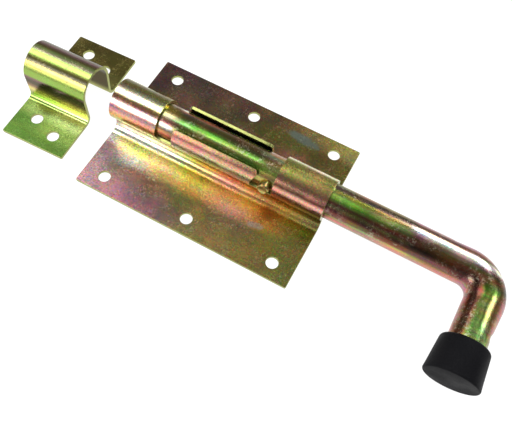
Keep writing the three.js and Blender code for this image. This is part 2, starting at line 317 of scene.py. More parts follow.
@dataclass(frozen=True)
class Section:
    """Cross-section of a sheet formed over a round: flange, foot, wall, crown, and the same again.

    A place on the upper skin is given by v, its distance along the skin from the crown, positive
    toward the rear. All sizes are in millimetres, with the crown's centre at y = 0.
    """

    half_width: float
    sheet: float
    axis_z: float
    round_r: float
    foot_r: float
    foot_y: float

    @property
    def wall_angle(self) -> float:
        """Where the crown's round meets the straight wall.

        Returns:
            The angle below the horizontal, in radians.
        """
        rise = self.axis_z - (self.sheet + self.foot_r)
        far = math.hypot(self.foot_y, rise)
        return math.atan2(rise, self.foot_y) - math.acos((self.round_r + self.foot_r) / far)

    @property
    def runs(self) -> tuple[float, float, float, float]:
        """Lengths along the upper skin from the crown's top.

        Returns:
            The lengths to the wall, to the foot, to the flange, and to the edge.
        """
        low = self.wall_angle
        wall = self.round_r * (math.pi / 2 + low)
        rise = self.axis_z - (self.sheet + self.foot_r)
        straight = math.sqrt(self.foot_y**2 + rise**2 - (self.round_r + self.foot_r) ** 2)
        foot = wall + straight
        flange = foot + self.foot_r * (math.pi / 2 + low)
        return wall, foot, flange, flange + self.half_width - self.foot_y

    def v_at(self, degrees: float, side: Side) -> float:
        """The v of an angle above the horizontal on the crown's round, on one side."""
        return side.value * self.round_r * math.radians(90 - degrees)

    def place(self, v: float) -> tuple[float, float, float, float]:
        """Where a v lies on the upper skin.

        Args:
            v: Distance along the skin from the crown.

        Returns:
            y, z and the skin's outward normal's y and z.
        """
        side = 1.0 if v >= 0 else -1.0
        run = abs(v)
        wall, foot, flange, _ = self.runs
        low = self.wall_angle
        if run <= wall:
            a = run / self.round_r
            ny, nz = math.sin(a), math.cos(a)
            y, z = self.round_r * ny, self.axis_z + self.round_r * nz
        elif run <= foot:
            ny, nz = math.cos(low), -math.sin(low)
            y = self.round_r * ny - (run - wall) * math.sin(low)
            z = self.axis_z + self.round_r * nz - (run - wall) * math.cos(low)
        elif run <= flange:
            a = -low + (run - foot) / self.foot_r
            ny, nz = math.cos(a), math.sin(a)
            y, z = self.foot_y - self.foot_r * ny, self.sheet + self.foot_r - self.foot_r * nz
        else:
            ny, nz = 0.0, 1.0
            y, z = self.foot_y + run - flange, self.sheet
        return side * y, z, side * ny, nz


@dataclass(frozen=True)
class FormedSheet:
    """A sheet cut as a flat pattern with softly rounded edges and then bent to its section.

    Places on the flat pattern are (u, v): u along X, v along the section from its crown.
    """

    section: Section
    outer: Loop
    holes: list
    edge_round: float = 0.22
    flap_u: float = 0.0
    flap_v: float = 0.0

    def bend(self, u: float, v: float) -> tuple[np.ndarray, np.ndarray, np.ndarray]:
        """Carries a place on the flat pattern to the formed sheet's upper skin.

        Args:
            u: Place along X.
            v: Place along the section.

        Returns:
            The point, the outward normal, and the direction of growing v.
        """
        if self.flap_u and abs(u) < self.flap_u and 0 < v < self.flap_v:
            y, z, ny, nz = self.section.place(self.flap_v)
            y, z = y + (v - self.flap_v) * nz, z - (v - self.flap_v) * ny
        else:
            y, z, ny, nz = self.section.place(v)
        return np.array([u, y, z]), np.array([0.0, ny, nz]), np.array([0.0, nz, -ny])

    def rings(self) -> list[tuple[float, float, float, float]]:
        """Steps of the rounded cut edge, from the upper skin to the lower one.

        Returns:
            (inset, depth, outward share, upward share) of each ring.
        """
        r, t = self.edge_round, self.section.sheet
        steps = [math.radians(a) for a in (90, 60, 30, 0)]
        upper = [(r * (1 - math.cos(a)), r * (1 - math.sin(a)), math.cos(a), math.sin(a)) for a in steps]
        lower = [(i, t - d, o, -up) for i, d, o, up in reversed(upper)]
        return upper + lower

    def grid(self, loops: list[np.ndarray]) -> np.ndarray:
        """Inner points of the flat pattern, close together where the sheet is curved.

        Args:
            loops: The inset outlines, outer one first.

        Returns:
            (n, 2) points clear of every outline.
        """
        wall, foot, flange, edge = self.section.runs
        fine = self.section.round_r * math.radians(3)
        curved = list(np.linspace(0, flange, math.ceil(flange / fine)))
        flat = list(np.linspace(flange, edge, math.ceil((edge - flange) / 4)))[1:-1]
        vs = sorted({round(s * v, 5) for v in curved + flat for s in (-1, 1)})
        us = np.linspace(loops[0][:, 0].min(), loops[0][:, 0].max(), 40)[1:-1]
        points = np.array([(u, v) for u in us for v in vs])
        keep = inside(points, loops[0])
        for loop in loops[1:]:
            keep &= ~inside(points, loop)
        points = points[keep]
        for loop in loops:
            points = points[clearance(points, loop) > fine / 2]
        return points

    def rims(self, loops: list[np.ndarray]) -> tuple[list, list, list, list, list, list]:
        """Forms the rounded cut edges along every outline.

        Args:
            loops: The outlines on the flat pattern.

        Returns:
            Points, normals, shares of cut edge, faces, and the points that meet the upper and lower skins.
        """
        verts, normals, edge, faces, upper, lower = ([] for _ in range(6))
        for loop in loops:
            inward = inset_directions(loop)
            ring_ids = []
            for inset, depth, out, up in self.rings():
                ids = []
                for (u, v), (iu, iv) in zip(loop, inward):
                    point, normal, along = self.bend(u + iu * inset, v + iv * inset)
                    side = -(np.array([1.0, 0, 0]) * iu + along * iv)
                    side /= np.linalg.norm(side)
                    ids.append(len(verts))
                    verts.append(point - normal * depth)
                    normals.append(side * out + normal * up)
                    edge.append(1.0 if out > CUT_SHARE else 0.0)
                ring_ids.append(ids)
            for a, b in zip(ring_ids, ring_ids[1:]):
                for i in range(len(a)):
                    j = (i + 1) % len(a)
                    faces.append((a[i], b[i], b[j], a[j]))
            upper += ring_ids[0]
            lower += ring_ids[-1]
        return verts, normals, edge, faces, upper, lower

    @staticmethod
    def triangulate(loops: list[np.ndarray], inner: np.ndarray) -> list[tuple[int, int, int]]:
        """Fills the flat pattern between its outlines with triangles.

        Args:
            loops: The inset outlines, outer one first.
            inner: The inner points.

        Returns:
            Triangles that index the outlines' points in order and then the inner points.
        """
        edges, start = [], 0
        for loop in loops:
            n = len(loop)
            edges += [(start + i, start + (i + 1) % n) for i in range(n)]
            start += n
        flat_points = [Vector(p) for p in np.vstack([*loops, inner])]
        found = delaunay_2d_cdt(flat_points, edges, [], 0, SAME_POINT)
        out_points, triangles, origin = found[0], found[2], found[3]
        centres = np.array([np.mean([out_points[i][:] for i in t], axis=0) for t in triangles])
        keep = inside(centres, loops[0])
        for loop in loops[1:]:
            keep &= ~inside(centres, loop)
        return [tuple(origin[i][0] for i in t) for use, t in zip(keep, triangles) if use]

    def build(self, name: str) -> bpy.types.Object:
        """Makes the formed sheet.

        Args:
            name: The object's name.

        Returns:
            The sheet's object.
        """
        outlines = [self.outer, *self.holes]
        loops = [np.array(subdivide(loop, OUTLINE_STEP_X, OUTLINE_STEP_V)) for loop in outlines]
        verts, normals, edge, faces, upper, lower = self.rims(loops)
        first_inset = self.rings()[0][0]
        inset_loops = [loop + inset_directions(loop) * first_inset for loop in loops]
        inner = self.grid(inset_loops)
        for u, v in inner:
            point, normal, _ = self.bend(u, v)
            upper.append(len(verts))
            lower.append(len(verts) + 1)
            verts += [point, point - normal * self.section.sheet]
            normals += [normal, -normal]
            edge += [0.0, 0.0]
        for a, b, c in self.triangulate(inset_loops, inner):
            faces.append((upper[a], upper[b], upper[c]))
            faces.append((lower[c], lower[b], lower[a]))
        return make_object(name, np.array(verts), faces, np.array(normals), edge)


# --------------------------------------------------------------------------------------------
# Finishes
# --------------------------------------------------------------------------------------------


class Nodes:
    """A short way to write a node tree."""

    def __init__(self, tree: bpy.types.NodeTree) -> None:
        """Keeps the tree that the nodes go into."""
        self.tree = tree

    def add(self, kind: str, settings: dict | None = None, **inputs: object) -> bpy.types.Node:
        """Adds a node.

        Args:
            kind: The node's type, without its "ShaderNode" prefix.
            settings: Properties of the node.
            **inputs: Values or sockets by input name, with _ for a space, or in_N for input N.

        Returns:
            The node.
        """
        node = self.tree.nodes.new("ShaderNode" + kind)
        for key, value in (settings or {}).items():
            setattr(node, key, value)
        for key, value in inputs.items():
            socket = node.inputs[int(key[3:]) if key.startswith("in_") else key.replace("_", " ")]
            if isinstance(value, bpy.types.NodeSocket):
                self.tree.links.new(value, socket)
            else:
                socket.default_value = value
        return node

    def math(self, operation: str, a: object, b: object = 0.0, c: object = 0.0) -> Socket:
        """A Math node's result.

        Args:
            operation: The operation.
            a: First value or socket.
            b: Second value or socket.
            c: Third value or socket.

        Returns:
            The result's socket.
        """
        return self.add("Math", {"operation": operation}, in_0=a, in_1=b, in_2=c).outputs[0]

    def step(
        self, value: object, low: float, high: float, to_low: float = 0.0, to_high: float = 1.0
    ) -> Socket:
        """A smooth step of a value.

        Args:
            value: The value's socket.
            low: Where the step starts.
            high: Where the step ends.
            to_low: The result below the step.
            to_high: The result above the step.

        Returns:
            The result's socket.
        """
        node = self.add("MapRange", {"interpolation_type": "SMOOTHSTEP"}, in_0=value)
        for index, number in zip((1, 2, 3, 4), (low, high, to_low, to_high)):
            node.inputs[index].default_value = number
        return node.outputs[0]

    def ramp(self, value: object, stops: Stops, low: float = 0.0, high: float = 1.0) -> Socket:
        """A colour ramp.

        Args:
            value: The value's socket.
            stops: (value, colour) of each stop, in order.
            low: The value at the ramp's start.
            high: The value at the ramp's end.

        Returns:
            The colour's socket.
        """
        place = self.add("MapRange", in_0=value)
        place.inputs[1].default_value, place.inputs[2].default_value = low, high
        node = self.add("ValToRGB", Fac=place.outputs[0])
        elements = node.color_ramp.elements
        elements.remove(elements[1])
        for i, (at, colour) in enumerate(stops):
            element = elements[0] if i == 0 else elements.new(1.0)
            element.position = (at - low) / (high - low)
            element.color = (*colour, 1.0)
        return node.outputs[0]

    def mix(self, share: object, a: object, b: object, blend: str = "MIX") -> Socket:
        """A mix of two colours.

        Args:
            share: Share of the second colour.
            a: First colour or socket.
            b: Second colour or socket.
            blend: The blend type.

        Returns:
            The colour's socket.
        """
        node = self.add("Mix", {"data_type": "RGBA", "blend_type": blend}, in_0=share)
        for index, value in ((6, a), (7, b)):
            if isinstance(value, bpy.types.NodeSocket):
                self.tree.links.new(value, node.inputs[index])
            else:
                node.inputs[index].default_value = (*value, 1.0)
        return node.outputs[2]

    def tint(self, noise: object, amount: float) -> Socket:
        """A multiplier near white that follows a noise's colour.

        Args:
            noise: The noise's colour socket.
            amount: How far the multiplier swings.

        Returns:
            The colour's socket.
        """
        swing, base = (amount,) * 3, (1 - amount / 2,) * 3
        swung = self.add("VectorMath", {"operation": "MULTIPLY_ADD"}, in_0=noise, in_1=swing, in_2=base)
        floor = (DARKEST_TINT,) * 3
        kept = self.add("VectorMath", {"operation": "MAXIMUM"}, in_0=swung.outputs[0], in_1=floor)
        return kept.outputs[0]

    def group(self, tree: bpy.types.NodeTree, **inputs: object) -> bpy.types.Node:
        """Places a shared group.

        Args:
            tree: The group.
            **inputs: Values or sockets by input name, with _ for a space.

        Returns:
            The group's node.
        """
        return self.add("Group", {"node_tree": tree}, **inputs)


def start_material(name: str) -> tuple[bpy.types.Material, Nodes, Socket]:
    """Starts an empty material.

    Args:
        name: The material's name.

    Returns:
        The material, its writer, and the place on the object, in metres.
    """
    material = bpy.data.materials.new(name)
    material.use_nodes = True
    material.node_tree.nodes.clear()
    n = Nodes(material.node_tree)
    return material, n, n.add("TexCoord").outputs["Object"]


def new_group(name: str, inputs: dict, outputs: dict) -> tuple[bpy.types.NodeTree, Nodes, dict, dict]:
    """Starts a shader node group.

    Args:
        name: The group's name.
        inputs: Socket type by input name, without its "NodeSocket" prefix.
        outputs: Socket type by output name.

    Returns:
        The group, its writer, its input sockets and its result sockets by name.
    """
    tree = bpy.data.node_groups.new(name, "ShaderNodeTree")
    for label, kind in inputs.items():
        tree.interface.new_socket(label, in_out="INPUT", socket_type="NodeSocket" + kind)
    for label, kind in outputs.items():
        tree.interface.new_socket(label, in_out="OUTPUT", socket_type="NodeSocket" + kind)
    start = tree.nodes.new("NodeGroupInput")
    end = tree.nodes.new("NodeGroupOutput")
    return tree, Nodes(tree), {s.name: s for s in start.outputs}, {s.name: s for s in end.inputs}


class Effects:
    """Node groups that several finishes share, each made once."""

    def __init__(self) -> None:
        """Makes every group."""
        self.turn = self.make_turn()
        self.mottle = self.make_mottle()
        self.streaks = self.make_streaks()
        self.scratches = self.make_scratches()
        self.scuffs = self.make_scuffs()
        self.smear = self.make_smear()

    @staticmethod
    def make_turn() -> bpy.types.NodeTree:
        """Group that gives the angle of a place about a line along X.

        Returns:
            The group: Angle in degrees, from 0 at -Y through 90 at +Z to 180 at +Y.
        """
        tree, n, inputs, results = new_group(
            "angle_about_axis",
            {"Place": "Vector", "Axis Y": "Float", "Axis Z": "Float"},
            {"Angle": "Float"},
        )
        split = n.add("SeparateXYZ", in_0=inputs["Place"])
        up = n.math("SUBTRACT", split.outputs[2], inputs["Axis Z"])
        back = n.math("SUBTRACT", inputs["Axis Y"], split.outputs[1])
        angle = n.math("ARCTAN2", up, back)
        tree.links.new(n.math("MULTIPLY", angle, 180 / math.pi), results["Angle"])
        return tree

    @staticmethod
    def make_mottle() -> bpy.types.NodeTree:
        """Group for the plating's cloudy patches and its fine many-coloured grain.

        Returns:
            The group: Cloud and Speckle, 0 to 1, and Cloud Colour and Grain Colour, both raw noise.
        """
        tree, n, inputs, results = new_group(
            "plating_mottle",
            {"Place": "Vector", "Cloud Scale": "Float", "Grain Scale": "Float"},
            {"Cloud": "Float", "Speckle": "Float", "Cloud Colour": "Color", "Grain Colour": "Color"},
        )
        cloud = n.add("TexNoise", Vector=inputs["Place"], Scale=inputs["Cloud Scale"], Detail=3.0)
        grain = n.add("TexNoise", Vector=inputs["Place"], Scale=inputs["Grain Scale"], Detail=3.0,
                      Roughness=0.75)
        tree.links.new(n.step(cloud.outputs["Fac"], 0.32, 0.68), results["Cloud"])
        tree.links.new(n.step(grain.outputs["Fac"], 0.36, 0.64), results["Speckle"])
        tree.links.new(cloud.outputs["Color"], results["Cloud Colour"])
        tree.links.new(grain.outputs["Color"], results["Grain Colour"])
        return tree

    @staticmethod
    def make_streaks() -> bpy.types.NodeTree:
        """Group for the long streaks of drawn bar and rolled sheet, along X.

        Returns:
            The group: Streak Colour, raw noise.
        """
        tree, n, inputs, results = new_group(
            "rolled_streaks", {"Place": "Vector", "Scale": "Float"}, {"Streak Colour": "Color"}
        )
        place = n.add("Mapping", Vector=inputs["Place"], Scale=(0.1, 1.0, 1.0))
        lines = n.add("TexNoise", Vector=place.outputs[0], Scale=inputs["Scale"], Detail=3.0, Roughness=0.6)
        tree.links.new(lines.outputs["Color"], results["Streak Colour"])
        return tree

    @staticmethod
    def make_scratches() -> bpy.types.NodeTree:
        """Group for handling scratches: thin broken strokes of two directions.

        Returns:
            The group: Scratch, 0 to 1.
        """
        tree, n, inputs, results = new_group(
            "handling_scratches", {"Place": "Vector", "Scale": "Float"}, {"Scratch": "Float"}
        )
        total: object = 0.0
        for turn, stretch in ((0.35, (1.0, 7.0, 7.0)), (-0.6, (7.0, 1.0, 7.0))):
            place = n.add("Mapping", Vector=inputs["Place"], Rotation=(0.2, turn, turn), Scale=stretch)
            strokes = n.add("TexNoise", Vector=place.outputs[0], Scale=inputs["Scale"], Detail=2.0)
            line = n.math("ABSOLUTE", n.math("SUBTRACT", strokes.outputs["Fac"], 0.5))
            total = n.math("MAXIMUM", total, n.step(line, 0.0, 0.009, 1.0, 0.0))
        breaks = n.add("TexNoise", Vector=inputs["Place"], Scale=170.0, Detail=1.0)
        broken = n.math("MULTIPLY", total, n.step(breaks.outputs["Fac"], 0.52, 0.66))
        tree.links.new(broken, results["Scratch"])
        return tree

    @staticmethod
    def make_scuffs() -> bpy.types.NodeTree:
        """Group for rubbed spots: small pale flecks gathered in patches.

        Returns:
            The group: Scuff, 0 to 1.
        """
        tree, n, inputs, results = new_group(
            "rubbed_flecks", {"Place": "Vector", "Scale": "Float"}, {"Scuff": "Float"}
        )
        flecks = n.add("TexNoise", Vector=inputs["Place"], Scale=inputs["Scale"], Detail=4.0, Roughness=0.8)
        patches = n.add("TexNoise", Vector=inputs["Place"], Scale=90.0, Detail=2.0)
        spot = n.step(flecks.outputs["Fac"], 0.53, 0.62)
        gathered = n.math("MULTIPLY", spot, n.step(patches.outputs["Fac"], 0.44, 0.6))
        tree.links.new(gathered, results["Scuff"])
        return tree

    @staticmethod
    def make_smear() -> bpy.types.NodeTree:
        """Group for one wiped smear, an oval with ragged edges.

        Returns:
            The group: Smear, 0 to 1.
        """
        tree, n, inputs, results = new_group(
            "wiped_smear", {"Place": "Vector", "Centre": "Vector", "Turn": "Vector", "Reach": "Vector"},
            {"Smear": "Float"},
        )
        settings = {"vector_type": "TEXTURE"}
        local = n.add("Mapping", settings, Vector=inputs["Place"], Location=inputs["Centre"],
                      Rotation=inputs["Turn"], Scale=inputs["Reach"]).outputs[0]
        far = n.add("VectorMath", {"operation": "LENGTH"}, in_0=local).outputs["Value"]
        ragged = n.add("TexNoise", Vector=inputs["Place"], Scale=260.0, Detail=4.0, Roughness=0.7)
        edge = n.math("MULTIPLY_ADD", ragged.outputs["Fac"], 1.4, n.math("SUBTRACT", far, 0.7))
        tree.links.new(n.step(edge, 0.55, 1.05, 1.0, 0.0), results["Smear"])
        return tree


@dataclass(frozen=True)
class Smear:
    """One wiped smear on a flange, placed in millimetres."""

    x: float
    y: float
    half_length: float
    half_width: float
    turn_deg: float
    colour: Colour
    share: float


@dataclass(frozen=True)
class Flats:
    """Colours of the flanges: rows by their distance in front of the axis, each a ramp along X."""

    rows: tuple[tuple[float, Stops], ...]
    half_span: float


@dataclass(frozen=True)
class Arm:
    """Colours across an arm that runs along Y, by X, from where the arm leaves the axis."""

    stops: Stops
    starts: tuple[float, float] = (5.0, 16.0)


@dataclass(frozen=True)
class PlatedSteel:
    """Yellow zinc plating: bands round an axis that change along X, grain and wear. The bands mix the
    plating's interference tints with painted highlights and painted shade.

    Bands are (angle in degrees from -Y over the top to +Y, colour). Each change is (where it
    starts, where it ends, the bands it leads to), in millimetres along X.
    """

    name: str
    bands: Stops
    changes: tuple[tuple[float, float, Stops], ...] = ()
    flats: Flats | None = None
    arm: Arm | None = None
    smears: tuple[Smear, ...] = ()
    axis_z: float = 20.1
    roughness: float = 0.2
    cloud_scale: float = 60.0
    grain_scale: float = 1300.0
    cloud: float = 0.9
    grain: float = 3.6
    streak: float = 0.4
    scratch: float = 0.22
    scuff: float = 0.1
    wobble: float = 4.0
    edge: Colour = (0.32, 0.34, 0.11)

    def build(self, effects: Effects) -> bpy.types.Material:
        """Makes the material.

        Args:
            effects: The shared node groups.

        Returns:
            The material.
        """
        material, n, place = start_material(self.name)
        mottle = n.group(effects.mottle, Place=place, Cloud_Scale=self.cloud_scale,
                         Grain_Scale=self.grain_scale)
        cloud, speckle = mottle.outputs["Cloud"], mottle.outputs["Speckle"]
        # band colour: plating tints together with painted highlights and painted shade
        colour = self.plating(n, effects, place, cloud)
        for part, amount in (("Cloud Colour", self.cloud), ("Grain Colour", self.grain)):
            colour = n.mix(1.0, colour, n.tint(mottle.outputs[part], amount), "MULTIPLY")
        streaks = n.group(effects.streaks, Place=place, Scale=420.0).outputs[0]
        colour = n.mix(1.0, colour, n.tint(streaks, self.streak), "MULTIPLY")
        for smear in self.smears:
            mask = n.group(
                effects.smear, Place=place,
                Centre=(smear.x * MM, smear.y * MM, 0.0),
                Turn=(0.0, 0.0, math.radians(smear.turn_deg)),
                Reach=(smear.half_length * MM, smear.half_width * MM, 1.0),
            ).outputs[0]
            colour = n.mix(n.math("MULTIPLY", mask, smear.share), colour, smear.colour)
        scuff = n.group(effects.scuffs, Place=place, Scale=480.0).outputs[0]
        colour = n.mix(n.math("MULTIPLY", scuff, self.scuff), colour, PALE)
        scratch = n.group(effects.scratches, Place=place, Scale=200.0).outputs[0]
        colour = n.mix(n.math("MULTIPLY", scratch, self.scratch), colour, PALE)
        bare = n.add("Attribute", {"attribute_name": EDGE}).outputs["Fac"]
        colour = n.mix(bare, colour, self.edge)
        rough = n.math("MULTIPLY_ADD", cloud, 0.08, self.roughness)
        rough = n.math("MULTIPLY_ADD", n.math("MAXIMUM", scratch, scuff), 0.12, rough)
        bump = n.add("Bump", Strength=0.05, Distance=0.0002, Height=speckle)
        shader = n.add("BsdfPrincipled", Base_Color=colour, Metallic=1.0, Roughness=rough,
                       Normal=bump.outputs[0])
        n.add("OutputMaterial", Surface=shader.outputs[0])
        return material

    def plating(self, n: Nodes, effects: Effects, place: Socket, cloud: Socket) -> Socket:
        """The plating's smooth colour with its painted highlights and painted shade, before grain and wear.

        Args:
            n: The material's writer.
            effects: The shared node groups.
            place: The place's socket.
            cloud: The cloudy patches, which make every border uneven.

        Returns:
            The colour's socket.
        """
        split = n.add("SeparateXYZ", in_0=place)
        uneven = n.math("SUBTRACT", cloud, 0.5)
        x = n.math("MULTIPLY_ADD", uneven, 3.0, n.math("DIVIDE", split.outputs[0], MM))
        away = n.math("DIVIDE", split.outputs[1], -MM)
        height = n.math("DIVIDE", split.outputs[2], MM)
        turn = n.group(effects.turn, Place=place, Axis_Y=0.0, Axis_Z=self.axis_z * MM).outputs[0]
        angle = n.math("MULTIPLY_ADD", uneven, self.wobble, turn)
        # colour by angle round the axis: tints, painted highlights and painted shade
        colour = n.ramp(angle, self.bands, BAND_LOW, BAND_HIGH)
        for start, end, bands in self.changes:
            colour = n.mix(n.step(x, start, end), colour, n.ramp(angle, bands, BAND_LOW, BAND_HIGH))
        if self.arm:
            across = n.ramp(x, self.arm.stops, 140.0, 175.0)
            colour = n.mix(n.step(away, *self.arm.starts), colour, across)
        if self.flats:
            span = self.flats.half_span
            (before, stops), *others = self.flats.rows
            flat = n.ramp(x, stops, -span, span)
            waved = n.math("MULTIPLY_ADD", uneven, self.wobble, away)
            for at, stops in others:
                flat = n.mix(n.step(waved, before, at), flat, n.ramp(x, stops, -span, span))
                before = at
            colour = n.mix(n.step(height, 2.5, 9.0), flat, colour)
        return colour


@dataclass(frozen=True)
class Rubber:
    """Matte moulded rubber with a faint bloom and fine grain."""

    name: str
    colour: Colour = (0.003, 0.003, 0.004)
    bloom: Colour = (0.010, 0.010, 0.011)

    def build(self, effects: Effects) -> bpy.types.Material:
        """Makes the material.

        Args:
            effects: The shared node groups.

        Returns:
            The material.
        """
        material, n, place = start_material(self.name)
        mottle = n.group(effects.mottle, Place=place, Cloud_Scale=70.0, Grain_Scale=1600.0)
        cloud, speckle = mottle.outputs["Cloud"], mottle.outputs["Speckle"]
        smudge = n.math("MULTIPLY", cloud, n.math("MULTIPLY_ADD", speckle, 0.4, 0.1))
        colour = n.mix(smudge, self.colour, self.bloom)
        rough = n.math("MULTIPLY_ADD", cloud, 0.18, 0.5)
        bump = n.add("Bump", Strength=0.25, Distance=0.0001, Height=speckle)
        shader = n.add("BsdfPrincipled", Base_Color=colour, Roughness=rough, Normal=bump.outputs[0])
        shader.inputs["Specular IOR Level"].default_value = 0.08
        n.add("OutputMaterial", Surface=shader.outputs[0])
        return material


# --------------------------------------------------------------------------------------------
# Sub-assemblies
# --------------------------------------------------------------------------------------------


@dataclass(frozen=True)
class Datum:
    """Where the CAD frame puts things, in millimetres."""

    x: float
    y: float

    @staticmethod
    def from_frame() -> "Datum":
        """Takes the base plate's centre as the datum."""
        low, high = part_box("base_plate")
        return Datum((low.x + high.x) / 2 / MM, (low.y + high.y) / 2 / MM)


def fit_out(obj: bpy.types.Object, material: bpy.types.Material, body: Body, node: str) -> None:
    """Dresses a piece and ties it to the frame.

    Args:
        obj: The piece.
        material: Its finish.
        body: The body that it rides on.
        node: The CAD node that it stands for.
    """
    obj.data.materials.clear()
    obj.data.materials.append(material)
    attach(obj, body.value)
    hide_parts(node)
    LOG.info("%s: %d faces, rides on %s", obj.name, len(obj.data.polygons), body.value)


@dataclass
class BasePlate:
    """The one-piece plate: two barrels, the window with its two flaps, and two drilled flanges."""

    datum: Datum
    length: float = 132.0
    width: float = 98.0
    sheet: float = 1.8
    axis_z: float = 20.1
    barrel_r: float = 11.9
    neck_r: float = 5.4
    neck_y: float = 12.5
    window_x: float = 36.2
    flap_x: float = 26.0
    flap_top: float = 48.0
    flap_lean: float = 10.5
    rear_rise: float = 7.0
    notch_floor: float = -14.0
    rear_floor: float = -16.5
    undercut: float = 2.6
    undercut_high: float = 33.0
    undercut_low: float = 3.0
    flap_corner: float = 2.5
    screw_r: float = 3.5
    screw_x: float = 53.2
    screw_y: float = 39.55

    def section(self) -> Section:
        """The plate's cross-section."""
        return Section(self.width / 2, self.sheet, self.axis_z, self.barrel_r, self.neck_r, self.neck_y)

    def window(self, section: Section) -> Loop:
        """Outline of the window and its notches on the flat pattern, clockwise.

        Args:
            section: The plate's cross-section.

        Returns:
            The outline's points.
        """
        f, w, c = self.flap_x, self.window_x, self.flap_corner
        near = section.v_at(self.notch_floor, Side.FRONT)
        far = section.v_at(self.rear_floor, Side.REAR)
        front_top = section.v_at(self.flap_top, Side.FRONT)
        rear_top = section.v_at(self.flap_lean, Side.REAR) - self.rear_rise
        foot, sharp = 3.0, 0.6
        return round_corners([
            (-w, near, foot),
            (-w, far, sharp),
            (-f, far, sharp),
            (-f, rear_top, c),
            (f, rear_top, c),
            (f, far, sharp),
            (w, far, sharp),
            (w, near, sharp),
            (f - self.undercut, near, sharp),
            (f - self.undercut, section.v_at(self.undercut_low, Side.FRONT), 0),
            (f, section.v_at(self.undercut_high, Side.FRONT), 0),
            (f, front_top, c),
            (-f, front_top, c),
            (-f, near, sharp),
        ])

    def build(self) -> bpy.types.Object:
        """Makes the plate's mesh in the row frame.

        Returns:
            The plate's object.
        """
        section = self.section()
        flange, edge = section.runs[2:]
        reach = edge - (self.width / 2 - self.screw_y)
        holes = [
            circle(i * self.screw_x, side.value * reach, self.screw_r)
            for i in (-1, 0, 1)
            for side in Side
        ]
        sheet = FormedSheet(
            section,
            rounded_rectangle(self.length / 2, edge, 0.8),
            [self.window(section), *holes],
            flap_u=(self.flap_x + self.window_x) / 2,
            flap_v=section.v_at(self.flap_lean, Side.REAR),
        )
        LOG.info("base plate: flat pattern %.1f mm wide, flanges start at %.1f mm", 2 * edge, flange)
        obj = sheet.build("plate_stamping")
        obj.location = (self.datum.x * MM, self.datum.y * MM, 0)
        return obj


@dataclass
class Keeper:
    """The separate strike that receives the bolt's nose."""

    datum: Datum
    length: float = 40.0
    width: float = 81.2
    sheet: float = 1.8
    hump_z: float = 19.4
    hump_r: float = 12.7
    foot_r: float = 3.0
    foot_y: float = 15.2
    hump_y: float = 0.4
    offset_x: float = -101.9
    offset_y: float = -1.8
    turn_deg: float = 1.8
    trim: float = 0.04
    screw_r: float = 3.5
    holes: tuple = ((-7.4, -24.5), (7.4, -30.4), (-7.4, 30.4), (7.4, 24.5))

    def build(self) -> bpy.types.Object:
        """Makes the keeper's mesh in the row frame.

        Returns:
            The keeper's object.
        """
        section = Section(self.width / 2, self.sheet, self.hump_z, self.hump_r, self.foot_r, self.foot_y)
        flange, edge = section.runs[2:]

        def along(y: float) -> float:
            """The v of a place on a flange, from its distance across the keeper."""
            return math.copysign(flange + abs(y) - self.foot_y, y)

        half = self.length / 2 - self.trim
        outline = [(x, y - self.hump_y) for x, y in rounded_rectangle(half, edge - self.trim, 0.8)]
        loops = [circle(x, along(y - self.hump_y), self.screw_r) for x, y in self.holes]
        obj = FormedSheet(section, outline, loops).build("keeper_stamping")
        turn = math.radians(self.turn_deg)
        shift = (-math.sin(turn) * self.hump_y, math.cos(turn) * self.hump_y)
        obj.rotation_euler = (0, 0, turn)
        obj.location = (
            (self.datum.x + self.offset_x + shift[0]) * MM,
            (self.datum.y + self.offset_y + shift[1]) * MM,
            0,
        )
        return obj


